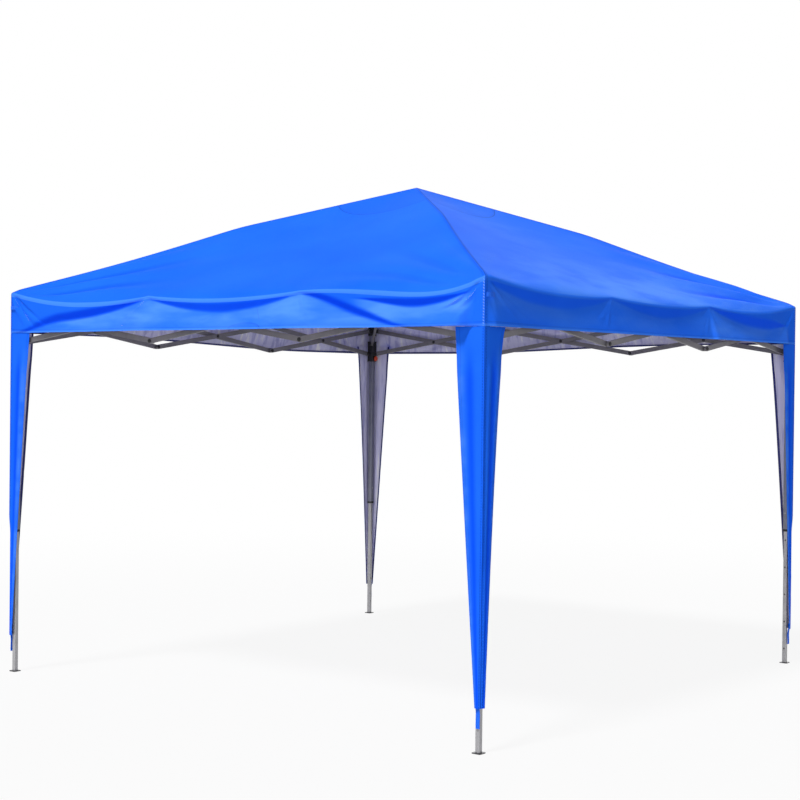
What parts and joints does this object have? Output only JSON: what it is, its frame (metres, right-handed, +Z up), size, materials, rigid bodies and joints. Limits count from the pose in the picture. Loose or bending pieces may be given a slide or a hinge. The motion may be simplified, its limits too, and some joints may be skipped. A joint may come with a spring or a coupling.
{
  "type": "pop up canopy",
  "caption": "Square pop up canopy: folding scissor-truss frame on telescoping legs, hipped fabric roof with valance and tapered leg covers.",
  "frame": {"origin": "on the floor below the peak, at the middle of the square of legs", "axes": "+Z up; the front corner lies towards +X -Y, and the sides are parallel to X and Y"},
  "size_m": [3.0226, 3.0226, 2.5734],
  "materials": {
    "steel": "grey powder coat",
    "bright_steel": "plated",
    "bracket": "moulded",
    "lock_button": "moulded",
    "cover": "coated woven polyester"
  },
  "bodies": {
    "leg_front": {"outer_leg_front": "steel", "top_bracket_front": "bracket", "canopy_cover": "cover", "leg_covers": "cover"},
    "leg_right": {"outer_leg_right": "steel", "top_bracket_right": "bracket"},
    "leg_rear": {"outer_leg_rear": "steel", "top_bracket_rear": "bracket"},
    "leg_left": {"outer_leg_left": "steel", "top_bracket_left": "bracket"},
    "inner_leg_front": {"inner_leg_front": "steel"},
    "leg_button_front": {"leg_button_front": "bright_steel"},
    "slider_front": {"slider_front": "bracket"},
    "lock_button_front": {"lock_button_front": "lock_button"},
    "lower_rafter_front": {"lower_rafter_front": "steel"},
    "upper_rafter_front": {"upper_rafter_front": "steel"},
    "inner_leg_right": {"inner_leg_right": "steel"},
    "leg_button_right": {"leg_button_right": "bright_steel"},
    "slider_right": {"slider_right": "bracket"},
    "lock_button_right": {"lock_button_right": "lock_button"},
    "lower_rafter_right": {"lower_rafter_right": "steel"},
    "upper_rafter_right": {"upper_rafter_right": "steel"},
    "inner_leg_rear": {"inner_leg_rear": "steel"},
    "leg_button_rear": {"leg_button_rear": "bright_steel"},
    "slider_rear": {"slider_rear": "bracket"},
    "lock_button_rear": {"lock_button_rear": "lock_button"},
    "lower_rafter_rear": {"lower_rafter_rear": "steel"},
    "upper_rafter_rear": {"upper_rafter_rear": "steel"},
    "inner_leg_left": {"inner_leg_left": "steel"},
    "leg_button_left": {"leg_button_left": "bright_steel"},
    "slider_left": {"slider_left": "bracket"},
    "lock_button_left": {"lock_button_left": "lock_button"},
    "lower_rafter_left": {"lower_rafter_left": "steel"},
    "upper_rafter_left": {"upper_rafter_left": "steel"},
    "rise_bar_front_right_1": {"rise_bar_front_right_1": "steel"},
    "fall_bar_front_right_1": {"fall_bar_front_right_1": "steel"},
    "rise_bar_front_right_2": {"rise_bar_front_right_2": "steel"},
    "fall_bar_front_right_2": {"fall_bar_front_right_2": "steel"},
    "rise_bar_front_right_3": {"rise_bar_front_right_3": "steel"},
    "fall_bar_front_right_3": {"fall_bar_front_right_3": "steel"},
    "rise_bar_right_rear_1": {"rise_bar_right_rear_1": "steel"},
    "fall_bar_right_rear_1": {"fall_bar_right_rear_1": "steel"},
    "rise_bar_right_rear_2": {"rise_bar_right_rear_2": "steel"},
    "fall_bar_right_rear_2": {"fall_bar_right_rear_2": "steel"},
    "rise_bar_right_rear_3": {"rise_bar_right_rear_3": "steel"},
    "fall_bar_right_rear_3": {"fall_bar_right_rear_3": "steel"},
    "rise_bar_rear_left_1": {"rise_bar_rear_left_1": "steel"},
    "fall_bar_rear_left_1": {"fall_bar_rear_left_1": "steel"},
    "rise_bar_rear_left_2": {"rise_bar_rear_left_2": "steel"},
    "fall_bar_rear_left_2": {"fall_bar_rear_left_2": "steel"},
    "rise_bar_rear_left_3": {"rise_bar_rear_left_3": "steel"},
    "fall_bar_rear_left_3": {"fall_bar_rear_left_3": "steel"},
    "rise_bar_left_front_1": {"rise_bar_left_front_1": "steel"},
    "fall_bar_left_front_1": {"fall_bar_left_front_1": "steel"},
    "rise_bar_left_front_2": {"rise_bar_left_front_2": "steel"},
    "fall_bar_left_front_2": {"fall_bar_left_front_2": "steel"},
    "rise_bar_left_front_3": {"rise_bar_left_front_3": "steel"},
    "fall_bar_left_front_3": {"fall_bar_left_front_3": "steel"},
    "hub": {"hub": "bracket", "peak_mast": "steel"}
  },
  "joints": [
    {"name": "frame_fold", "type": "hinge", "parent": "leg_front", "child": "fall_bar_front_right_1", "pos_m": [1.475, -1.439, 1.865], "axis": [-1, 0, 0], "range_deg": [0, 77], "deforming": ["canopy_cover", "leg_covers"]},
    {"name": "front_right_cross_1", "type": "hinge", "parent": "fall_bar_front_right_1", "child": "rise_bar_front_right_1", "pos_m": [1.475, -0.95933, 1.79], "axis": [1, 0, 0], "range_deg": [0, 154]},
    {"name": "front_right_top_1", "type": "hinge", "parent": "rise_bar_front_right_1", "child": "fall_bar_front_right_2", "pos_m": [1.475, -0.47967, 1.865], "axis": [-1, 0, 0], "range_deg": [0, 154]},
    {"name": "front_right_cross_2", "type": "hinge", "parent": "fall_bar_front_right_2", "child": "rise_bar_front_right_2", "pos_m": [1.475, 0, 1.79], "axis": [1, 0, 0], "range_deg": [0, 154]},
    {"name": "front_right_slider", "type": "hinge", "parent": "rise_bar_front_right_1", "child": "slider_front", "pos_m": [1.475, -1.439, 1.715], "axis": [-1, 0, 0], "range_deg": [0, 77]},
    {"name": "front_right_bottom_2", "type": "hinge", "parent": "fall_bar_front_right_2", "child": "rise_bar_front_right_3", "pos_m": [1.475, 0.47967, 1.715], "axis": [1, 0, 0], "range_deg": [0, 154]},
    {"name": "front_right_cross_3", "type": "hinge", "parent": "rise_bar_front_right_3", "child": "fall_bar_front_right_3", "pos_m": [1.475, 0.95933, 1.79], "axis": [-1, 0, 0], "range_deg": [0, 154]},
    {"name": "front_right_rise_3_at_bracket", "type": "hinge", "parent": "rise_bar_front_right_3", "child": "leg_right", "pos_m": [1.475, 1.439, 1.865], "axis": [-1, 0, 0], "range_deg": [0, 77]},
    {"name": "right_rear_fall_1_at_bracket", "type": "hinge", "parent": "leg_right", "child": "fall_bar_right_rear_1", "pos_m": [1.439, 1.475, 1.865], "axis": [0, -1, 0], "range_deg": [0, 77]},
    {"name": "right_rear_cross_1", "type": "hinge", "parent": "fall_bar_right_rear_1", "child": "rise_bar_right_rear_1", "pos_m": [0.95933, 1.475, 1.79], "axis": [0, 1, 0], "range_deg": [0, 154]},
    {"name": "right_rear_top_1", "type": "hinge", "parent": "rise_bar_right_rear_1", "child": "fall_bar_right_rear_2", "pos_m": [0.47967, 1.475, 1.865], "axis": [0, -1, 0], "range_deg": [0, 154]},
    {"name": "right_rear_cross_2", "type": "hinge", "parent": "fall_bar_right_rear_2", "child": "rise_bar_right_rear_2", "pos_m": [0, 1.475, 1.79], "axis": [0, 1, 0], "range_deg": [0, 154]},
    {"name": "right_rear_slider", "type": "hinge", "parent": "rise_bar_right_rear_1", "child": "slider_right", "pos_m": [1.439, 1.475, 1.715], "axis": [0, -1, 0], "range_deg": [0, 77]},
    {"name": "right_rear_bottom_2", "type": "hinge", "parent": "fall_bar_right_rear_2", "child": "rise_bar_right_rear_3", "pos_m": [-0.47967, 1.475, 1.715], "axis": [0, 1, 0], "range_deg": [0, 154]},
    {"name": "right_rear_cross_3", "type": "hinge", "parent": "rise_bar_right_rear_3", "child": "fall_bar_right_rear_3", "pos_m": [-0.95933, 1.475, 1.79], "axis": [0, -1, 0], "range_deg": [0, 154]},
    {"name": "right_rear_rise_3_at_bracket", "type": "hinge", "parent": "rise_bar_right_rear_3", "child": "leg_rear", "pos_m": [-1.439, 1.475, 1.865], "axis": [0, -1, 0], "range_deg": [0, 77]},
    {"name": "left_front_rise_3_at_bracket", "type": "hinge", "parent": "leg_front", "child": "rise_bar_left_front_3", "pos_m": [1.439, -1.475, 1.865], "axis": [0, -1, 0], "range_deg": [0, 77]},
    {"name": "left_front_cross_3", "type": "hinge", "parent": "rise_bar_left_front_3", "child": "fall_bar_left_front_3", "pos_m": [0.95933, -1.475, 1.79], "axis": [0, 1, 0], "range_deg": [0, 154]},
    {"name": "left_front_bottom_2", "type": "hinge", "parent": "rise_bar_left_front_3", "child": "fall_bar_left_front_2", "pos_m": [0.47967, -1.475, 1.715], "axis": [0, 1, 0], "range_deg": [0, 154]},
    {"name": "left_front_cross_2", "type": "hinge", "parent": "fall_bar_left_front_2", "child": "rise_bar_left_front_2", "pos_m": [0, -1.475, 1.79], "axis": [0, -1, 0], "range_deg": [0, 154]},
    {"name": "left_front_top_1", "type": "hinge", "parent": "fall_bar_left_front_2", "child": "rise_bar_left_front_1", "pos_m": [-0.47967, -1.475, 1.865], "axis": [0, -1, 0], "range_deg": [0, 154]},
    {"name": "left_front_cross_1", "type": "hinge", "parent": "rise_bar_left_front_1", "child": "fall_bar_left_front_1", "pos_m": [-0.95933, -1.475, 1.79], "axis": [0, 1, 0], "range_deg": [0, 154]},
    {"name": "left_front_fall_1_at_bracket", "type": "hinge", "parent": "fall_bar_left_front_1", "child": "leg_left", "pos_m": [-1.439, -1.475, 1.865], "axis": [0, -1, 0], "range_deg": [0, 77]},
    {"name": "left_front_slider", "type": "hinge", "parent": "rise_bar_left_front_1", "child": "slider_left", "pos_m": [-1.439, -1.475, 1.715], "axis": [0, 1, 0], "range_deg": [0, 77]},
    {"name": "rear_left_fall_1_at_bracket", "type": "hinge", "parent": "leg_rear", "child": "fall_bar_rear_left_1", "pos_m": [-1.475, 1.439, 1.865], "axis": [1, 0, 0], "range_deg": [0, 77]},
    {"name": "rear_left_cross_1", "type": "hinge", "parent": "fall_bar_rear_left_1", "child": "rise_bar_rear_left_1", "pos_m": [-1.475, 0.95933, 1.79], "axis": [-1, 0, 0], "range_deg": [0, 154]},
    {"name": "rear_left_top_1", "type": "hinge", "parent": "rise_bar_rear_left_1", "child": "fall_bar_rear_left_2", "pos_m": [-1.475, 0.47967, 1.865], "axis": [1, 0, 0], "range_deg": [0, 154]},
    {"name": "rear_left_cross_2", "type": "hinge", "parent": "fall_bar_rear_left_2", "child": "rise_bar_rear_left_2", "pos_m": [-1.475, 0, 1.79], "axis": [-1, 0, 0], "range_deg": [0, 154]},
    {"name": "rear_left_slider", "type": "hinge", "parent": "rise_bar_rear_left_1", "child": "slider_rear", "pos_m": [-1.475, 1.439, 1.715], "axis": [1, 0, 0], "range_deg": [0, 77]},
    {"name": "rear_left_rise_3_at_bracket", "type": "hinge", "parent": "leg_left", "child": "rise_bar_rear_left_3", "pos_m": [-1.475, -1.439, 1.865], "axis": [-1, 0, 0], "range_deg": [0, 77]},
    {"name": "rear_left_cross_3", "type": "hinge", "parent": "rise_bar_rear_left_3", "child": "fall_bar_rear_left_3", "pos_m": [-1.475, -0.95933, 1.79], "axis": [1, 0, 0], "range_deg": [0, 154]},
    {"name": "lower_rafter_front_at_slider", "type": "hinge", "parent": "slider_front", "child": "lower_rafter_front", "pos_m": [1.44106, -1.44106, 1.78], "axis": [0.7071, 0.7071, 0], "range_deg": [0, 61.6]},
    {"name": "middle_hinge_front", "type": "hinge", "parent": "lower_rafter_front", "child": "upper_rafter_front", "pos_m": [0.65959, -0.65959, 2.31], "axis": [-0.7071, -0.7071, 0], "range_deg": [0, 154]},
    {"name": "lower_rafter_right_at_slider", "type": "hinge", "parent": "slider_right", "child": "lower_rafter_right", "pos_m": [1.44106, 1.44106, 1.78], "axis": [-0.7071, 0.7071, 0], "range_deg": [0, 61.6]},
    {"name": "middle_hinge_right", "type": "hinge", "parent": "lower_rafter_right", "child": "upper_rafter_right", "pos_m": [0.65959, 0.65959, 2.31], "axis": [0.7071, -0.7071, 0], "range_deg": [0, 154]},
    {"name": "lower_rafter_rear_at_slider", "type": "hinge", "parent": "slider_rear", "child": "lower_rafter_rear", "pos_m": [-1.44106, 1.44106, 1.78], "axis": [-0.7071, -0.7071, 0], "range_deg": [0, 61.6]},
    {"name": "middle_hinge_rear", "type": "hinge", "parent": "lower_rafter_rear", "child": "upper_rafter_rear", "pos_m": [-0.65959, 0.65959, 2.31], "axis": [0.7071, 0.7071, 0], "range_deg": [0, 154]},
    {"name": "lower_rafter_left_at_slider", "type": "hinge", "parent": "slider_left", "child": "lower_rafter_left", "pos_m": [-1.44106, -1.44106, 1.78], "axis": [0.7071, -0.7071, 0], "range_deg": [0, 61.6]},
    {"name": "middle_hinge_left", "type": "hinge", "parent": "lower_rafter_left", "child": "upper_rafter_left", "pos_m": [-0.65959, -0.65959, 2.31], "axis": [-0.7071, 0.7071, 0], "range_deg": [0, 154]},
    {"name": "hub_pivot_front", "type": "hinge", "parent": "upper_rafter_front", "child": "hub", "pos_m": [0.03182, -0.03182, 2.3937], "axis": [0.7071, 0.7071, 0], "range_deg": [0, 92.4]},
    {"name": "leg_extension_front", "type": "slide", "parent": "leg_front", "child": "inner_leg_front", "axis": [0, 0, 1], "range_m": [0, 0.6]},
    {"name": "leg_button_front_press", "type": "slide", "parent": "leg_front", "child": "leg_button_front", "axis": [1, 0, 0], "range_m": [0, 0.003], "stiffness_N_per_m": 600},
    {"name": "lock_button_front_press", "type": "slide", "parent": "slider_front", "child": "lock_button_front", "axis": [1, 0, 0], "range_m": [0, 0.0035], "stiffness_N_per_m": 600},
    {"name": "leg_extension_right", "type": "slide", "parent": "leg_right", "child": "inner_leg_right", "axis": [0, 0, 1], "range_m": [0, 0.6]},
    {"name": "leg_button_right_press", "type": "slide", "parent": "leg_right", "child": "leg_button_right", "axis": [0, 1, 0], "range_m": [0, 0.003], "stiffness_N_per_m": 600},
    {"name": "lock_button_right_press", "type": "slide", "parent": "slider_right", "child": "lock_button_right", "axis": [0, 1, 0], "range_m": [0, 0.0035], "stiffness_N_per_m": 600},
    {"name": "leg_extension_rear", "type": "slide", "parent": "leg_rear", "child": "inner_leg_rear", "axis": [0, 0, 1], "range_m": [0, 0.6]},
    {"name": "leg_button_rear_press", "type": "slide", "parent": "leg_rear", "child": "leg_button_rear", "axis": [-1, 0, 0], "range_m": [0, 0.003], "stiffness_N_per_m": 600},
    {"name": "lock_button_rear_press", "type": "slide", "parent": "slider_rear", "child": "lock_button_rear", "axis": [-1, 0, 0], "range_m": [0, 0.0035], "stiffness_N_per_m": 600},
    {"name": "leg_extension_left", "type": "slide", "parent": "leg_left", "child": "inner_leg_left", "axis": [0, 0, 1], "range_m": [0, 0.6]},
    {"name": "leg_button_left_press", "type": "slide", "parent": "leg_left", "child": "leg_button_left", "axis": [0, -1, 0], "range_m": [0, 0.003], "stiffness_N_per_m": 600},
    {"name": "lock_button_left_press", "type": "slide", "parent": "slider_left", "child": "lock_button_left", "axis": [0, -1, 0], "range_m": [0, 0.0035], "stiffness_N_per_m": 600}
  ],
  "couplings": [
    {"joint": "front_right_cross_1", "follows": "frame_fold", "ratio": 2},
    {"joint": "front_right_top_1", "follows": "frame_fold", "ratio": 2},
    {"joint": "front_right_cross_2", "follows": "frame_fold", "ratio": 2},
    {"joint": "front_right_slider", "follows": "frame_fold", "ratio": 1},
    {"joint": "front_right_bottom_2", "follows": "frame_fold", "ratio": 2},
    {"joint": "front_right_cross_3", "follows": "frame_fold", "ratio": 2},
    {"joint": "front_right_rise_3_at_bracket", "follows": "frame_fold", "ratio": 1},
    {"joint": "right_rear_fall_1_at_bracket", "follows": "frame_fold", "ratio": 1},
    {"joint": "right_rear_cross_1", "follows": "frame_fold", "ratio": 2},
    {"joint": "right_rear_top_1", "follows": "frame_fold", "ratio": 2},
    {"joint": "right_rear_cross_2", "follows": "frame_fold", "ratio": 2},
    {"joint": "right_rear_slider", "follows": "frame_fold", "ratio": 1},
    {"joint": "right_rear_bottom_2", "follows": "frame_fold", "ratio": 2},
    {"joint": "right_rear_cross_3", "follows": "frame_fold", "ratio": 2},
    {"joint": "right_rear_rise_3_at_bracket", "follows": "frame_fold", "ratio": 1},
    {"joint": "left_front_rise_3_at_bracket", "follows": "frame_fold", "ratio": 1},
    {"joint": "left_front_cross_3", "follows": "frame_fold", "ratio": 2},
    {"joint": "left_front_bottom_2", "follows": "frame_fold", "ratio": 2},
    {"joint": "left_front_cross_2", "follows": "frame_fold", "ratio": 2},
    {"joint": "left_front_top_1", "follows": "frame_fold", "ratio": 2},
    {"joint": "left_front_cross_1", "follows": "frame_fold", "ratio": 2},
    {"joint": "left_front_fall_1_at_bracket", "follows": "frame_fold", "ratio": 1},
    {"joint": "left_front_slider", "follows": "frame_fold", "ratio": 1},
    {"joint": "rear_left_fall_1_at_bracket", "follows": "frame_fold", "ratio": 1},
    {"joint": "rear_left_cross_1", "follows": "frame_fold", "ratio": 2},
    {"joint": "rear_left_top_1", "follows": "frame_fold", "ratio": 2},
    {"joint": "rear_left_cross_2", "follows": "frame_fold", "ratio": 2},
    {"joint": "rear_left_slider", "follows": "frame_fold", "ratio": 1},
    {"joint": "rear_left_rise_3_at_bracket", "follows": "frame_fold", "ratio": 1},
    {"joint": "rear_left_cross_3", "follows": "frame_fold", "ratio": 2},
    {"joint": "lower_rafter_front_at_slider", "follows": "frame_fold", "ratio": 0.8},
    {"joint": "middle_hinge_front", "follows": "frame_fold", "ratio": 2},
    {"joint": "lower_rafter_right_at_slider", "follows": "frame_fold", "ratio": 0.8},
    {"joint": "middle_hinge_right", "follows": "frame_fold", "ratio": 2},
    {"joint": "lower_rafter_rear_at_slider", "follows": "frame_fold", "ratio": 0.8},
    {"joint": "middle_hinge_rear", "follows": "frame_fold", "ratio": 2},
    {"joint": "lower_rafter_left_at_slider", "follows": "frame_fold", "ratio": 0.8},
    {"joint": "middle_hinge_left", "follows": "frame_fold", "ratio": 2},
    {"joint": "hub_pivot_front", "follows": "frame_fold", "ratio": 1.2}
  ]
}
